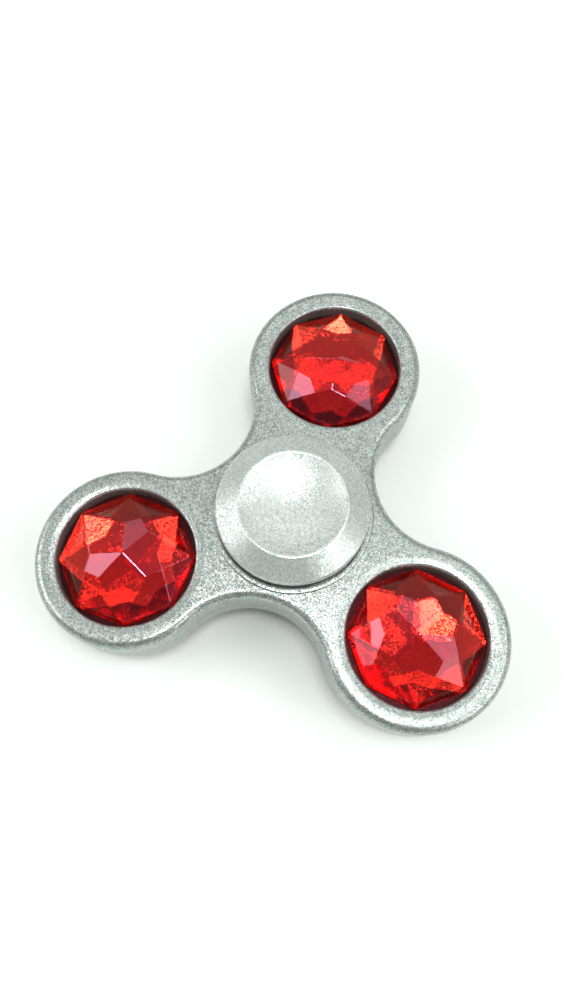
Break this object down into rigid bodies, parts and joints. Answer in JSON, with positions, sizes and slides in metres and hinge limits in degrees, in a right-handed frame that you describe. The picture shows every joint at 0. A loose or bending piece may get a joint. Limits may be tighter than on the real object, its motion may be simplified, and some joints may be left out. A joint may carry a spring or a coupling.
{
  "type": "fidget spinner",
  "caption": "Three-lobed hand spinner with round faceted gems set in its lobes, dished finger caps and a ball bearing in the middle.",
  "frame": {"origin": "centre of the bearing, on the spin axis at mid-thickness, which is also the centre of mass", "axes": "+Z is the spin axis and the thin direction, out of the front face; +Y runs from the axis to the centre of lobe 1"},
  "size_m": [0.07, 0.0642, 0.0212],
  "materials": {
    "silver_paint": "fine silver metal-flake paint, satin",
    "cap_paint": "fine silver metal-flake paint, satin",
    "red_gem": "clear red faceted acrylic stone, polished",
    "gem_foil": "crinkled red-gold reflecting foil",
    "weight_steel": "plain turned steel",
    "bearing_steel": "ground bearing steel",
    "seal_rubber": "black moulded rubber",
    "cage_steel": "pressed sheet steel",
    "ball_steel": "polished bearing steel"
  },
  "bodies": {
    "hub": {"finger_cap_front": "cap_paint", "finger_cap_rear": "cap_paint", "bearing_inner_ring": "bearing_steel"},
    "frame": {"body": "silver_paint", "lobe_weight_1": "weight_steel", "lobe_weight_2": "weight_steel", "lobe_weight_3": "weight_steel", "front_gem_1": "red_gem", "front_gem_2": "red_gem", "front_gem_3": "red_gem", "rear_gem_1": "red_gem", "rear_gem_2": "red_gem", "rear_gem_3": "red_gem", "front_foil_1": "gem_foil", "front_foil_2": "gem_foil", "front_foil_3": "gem_foil", "rear_foil_1": "gem_foil", "rear_foil_2": "gem_foil", "rear_foil_3": "gem_foil", "bearing_outer_ring": "bearing_steel", "bearing_seal_front": "seal_rubber", "bearing_seal_rear": "seal_rubber"},
    "cage": {"cage_half_front": "cage_steel", "cage_half_rear": "cage_steel", "cage_rivets": "cage_steel"},
    "ball_1": {"ball_1": "ball_steel"},
    "ball_2": {"ball_2": "ball_steel"},
    "ball_3": {"ball_3": "ball_steel"},
    "ball_4": {"ball_4": "ball_steel"},
    "ball_5": {"ball_5": "ball_steel"},
    "ball_6": {"ball_6": "ball_steel"},
    "ball_7": {"ball_7": "ball_steel"}
  },
  "joints": [
    {"name": "frame_spin", "type": "hinge", "parent": "hub", "child": "frame", "pos_m": [0, 0, 0], "axis": [0, 0, 1], "continuous": true},
    {"name": "cage_spin", "type": "hinge", "parent": "hub", "child": "cage", "pos_m": [0, 0, 0], "axis": [0, 0, 1], "continuous": true},
    {"name": "ball_1_spin", "type": "hinge", "parent": "cage", "child": "ball_1", "pos_m": [0, 0.0075, 0], "axis": [0, 0, 1], "continuous": true},
    {"name": "ball_2_spin", "type": "hinge", "parent": "cage", "child": "ball_2", "pos_m": [-0.00586, 0.00468, 0], "axis": [0, 0, 1], "continuous": true},
    {"name": "ball_3_spin", "type": "hinge", "parent": "cage", "child": "ball_3", "pos_m": [-0.00731, -0.00167, 0], "axis": [0, 0, 1], "continuous": true},
    {"name": "ball_4_spin", "type": "hinge", "parent": "cage", "child": "ball_4", "pos_m": [-0.00325, -0.00676, 0], "axis": [0, 0, 1], "continuous": true},
    {"name": "ball_5_spin", "type": "hinge", "parent": "cage", "child": "ball_5", "pos_m": [0.00325, -0.00676, 0], "axis": [0, 0, 1], "continuous": true},
    {"name": "ball_6_spin", "type": "hinge", "parent": "cage", "child": "ball_6", "pos_m": [0.00731, -0.00167, 0], "axis": [0, 0, 1], "continuous": true},
    {"name": "ball_7_spin", "type": "hinge", "parent": "cage", "child": "ball_7", "pos_m": [0.00586, 0.00468, 0], "axis": [0, 0, 1], "continuous": true}
  ],
  "couplings": [
    {"joint": "cage_spin", "follows": "frame_spin", "ratio": 0.6323},
    {"joint": "ball_1_spin", "follows": "frame_spin", "ratio": 1.7573},
    {"joint": "ball_2_spin", "follows": "frame_spin", "ratio": 1.7573},
    {"joint": "ball_3_spin", "follows": "frame_spin", "ratio": 1.7573},
    {"joint": "ball_4_spin", "follows": "frame_spin", "ratio": 1.7573},
    {"joint": "ball_5_spin", "follows": "frame_spin", "ratio": 1.7573},
    {"joint": "ball_6_spin", "follows": "frame_spin", "ratio": 1.7573},
    {"joint": "ball_7_spin", "follows": "frame_spin", "ratio": 1.7573}
  ]
}
